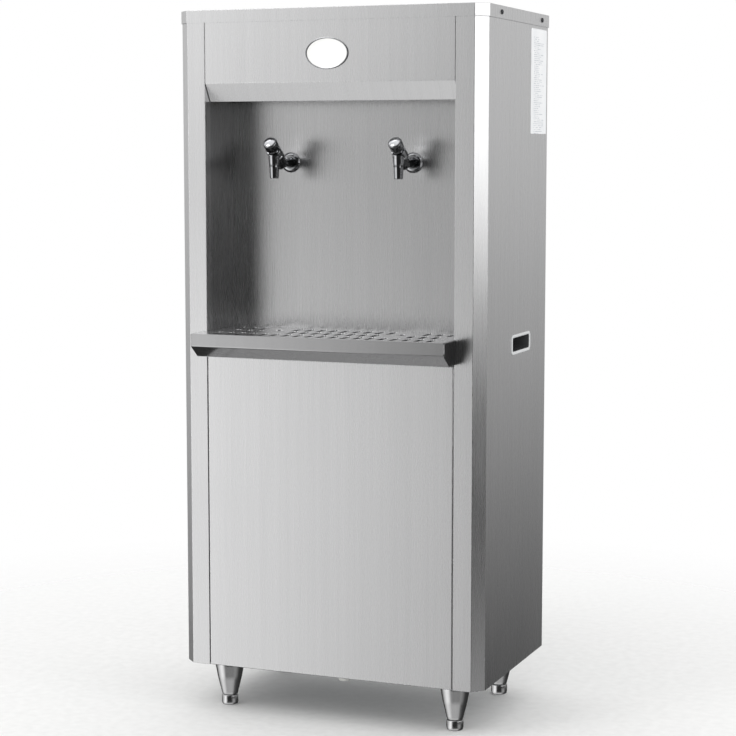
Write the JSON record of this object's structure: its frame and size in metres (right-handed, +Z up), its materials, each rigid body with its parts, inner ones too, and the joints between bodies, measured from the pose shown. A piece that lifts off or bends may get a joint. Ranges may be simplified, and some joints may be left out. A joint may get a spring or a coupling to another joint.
{
  "type": "drinking water cooler",
  "caption": "Floor-standing stainless water cooler: folded cabinet on bullet legs, recessed alcove with push-button taps over a drip tray with slotted grille.",
  "frame": {"origin": "on the floor under the middle of the overall box", "axes": "+Z up, -Y out of the front with the taps, +X to the right of a person facing the taps"},
  "size_m": [0.5444, 0.416, 1.18],
  "materials": {
    "brushed_stainless": "vertical satin grain",
    "alcove_stainless": "bright satin",
    "tray_stainless": "bright satin",
    "grille_stainless": "polished",
    "galvanised_steel": "galvanised sheet",
    "screw_steel": "dark zinc",
    "leg_stainless": "turned",
    "tap_chrome": "mirror",
    "nut_brass": "machined",
    "badge_enamel": "gloss",
    "label_film": "satin film",
    "handle_plastic": "moulded",
    "drain_plastic": "moulded",
    "control_plastic": "moulded",
    "tank_stainless": "mill finish",
    "foam": "expanded foam",
    "copper": "drawn tube",
    "compressor_paint": "satin black",
    "grommet_rubber": "matt",
    "fin_aluminium": "mill fin stock"
  },
  "bodies": {
    "cabinet": {"top_lid": "brushed_stainless", "left_side_panel": "brushed_stainless", "right_side_panel": "brushed_stainless", "upper_fascia": "brushed_stainless", "lower_front_panel": "brushed_stainless", "alcove_liner": "alcove_stainless", "drip_tray": "tray_stainless", "base_pan": "galvanised_steel", "back_panel": "galvanised_steel", "tank_shelf": "galvanised_steel", "cabinet_screws": "screw_steel", "leg_nuts": "screw_steel", "leg_front_left": "leg_stainless", "leg_front_right": "leg_stainless", "leg_rear_left": "leg_stainless", "leg_rear_right": "leg_stainless", "left_tap_body": "tap_chrome", "left_tap_nozzle": "tap_chrome", "left_tap_rosette": "tap_chrome", "right_tap_body": "tap_chrome", "right_tap_nozzle": "tap_chrome", "right_tap_rosette": "tap_chrome", "left_tap_lock_nut": "nut_brass", "right_tap_lock_nut": "nut_brass", "inlet_connector": "nut_brass", "float_valve": "nut_brass", "oval_badge": "badge_enamel", "rating_label": "label_film", "left_side_handle": "handle_plastic", "right_side_handle": "handle_plastic", "drain_waste": "drain_plastic", "drain_pipe": "drain_plastic", "thermostat": "control_plastic", "power_switch": "control_plastic", "cable_gland": "control_plastic", "water_tank": "tank_stainless", "tank_lid": "tank_stainless", "tap_feed_pipes": "tank_stainless", "tank_insulation": "foam", "evaporator_coil": "copper", "compressor": "compressor_paint", "fan_shroud": "compressor_paint", "compressor_mounts": "grommet_rubber", "condenser": "fin_aluminium", "fan_motor": "fin_aluminium"},
    "left_button": {"left_tap_button": "tap_chrome"},
    "right_button": {"right_tap_button": "tap_chrome"},
    "grille": {"drip_grille": "grille_stainless"},
    "foot_front_left": {"foot_front_left": "leg_stainless"},
    "foot_front_right": {"foot_front_right": "leg_stainless"},
    "foot_rear_left": {"foot_rear_left": "leg_stainless"},
    "foot_rear_right": {"foot_rear_right": "leg_stainless"},
    "fan": {"fan_blade": "fin_aluminium"},
    "float": {"float_arm": "nut_brass", "float_ball": "drain_plastic"},
    "knob": {"thermostat_knob": "control_plastic"},
    "rocker": {"switch_rocker": "control_plastic"}
  },
  "joints": [
    {"name": "left_tap_press", "type": "slide", "parent": "cabinet", "child": "left_button", "axis": [0, 0.7547, -0.6561], "range_m": [0, 0.005], "stiffness_N_per_m": 900, "springref_m": -0.004},
    {"name": "right_tap_press", "type": "slide", "parent": "cabinet", "child": "right_button", "axis": [0, 0.7547, -0.6561], "range_m": [0, 0.005], "stiffness_N_per_m": 900, "springref_m": -0.004},
    {"name": "grille_lift", "type": "slide", "parent": "cabinet", "child": "grille", "axis": [0, 0, 1], "range_m": [0, 0.06]},
    {"name": "foot_front_left_screw", "type": "slide", "parent": "cabinet", "child": "foot_front_left", "axis": [0, 0, 1], "range_m": [-0.02, 0]},
    {"name": "foot_front_right_screw", "type": "slide", "parent": "cabinet", "child": "foot_front_right", "axis": [0, 0, 1], "range_m": [-0.02, 0]},
    {"name": "foot_rear_left_screw", "type": "slide", "parent": "cabinet", "child": "foot_rear_left", "axis": [0, 0, 1], "range_m": [-0.02, 0]},
    {"name": "foot_rear_right_screw", "type": "slide", "parent": "cabinet", "child": "foot_rear_right", "axis": [0, 0, 1], "range_m": [-0.02, 0]},
    {"name": "fan_spin", "type": "hinge", "parent": "cabinet", "child": "fan", "pos_m": [-0.112, 0.0711, 0.199], "axis": [0, 1, 0], "continuous": true},
    {"name": "float_swing", "type": "hinge", "parent": "cabinet", "child": "float", "pos_m": [0, 0.01815, 1.068], "axis": [1, 0, 0], "range_deg": [0, 27]},
    {"name": "thermostat_turn", "type": "hinge", "parent": "cabinet", "child": "knob", "pos_m": [0.15, 0.1883, 0.74], "axis": [0, 1, 0], "range_deg": [0, 270]},
    {"name": "switch_rock", "type": "hinge", "parent": "cabinet", "child": "rocker", "pos_m": [0.195, 0.1773, 0.74], "axis": [1, 0, 0], "range_deg": [-16, 0]}
  ]
}
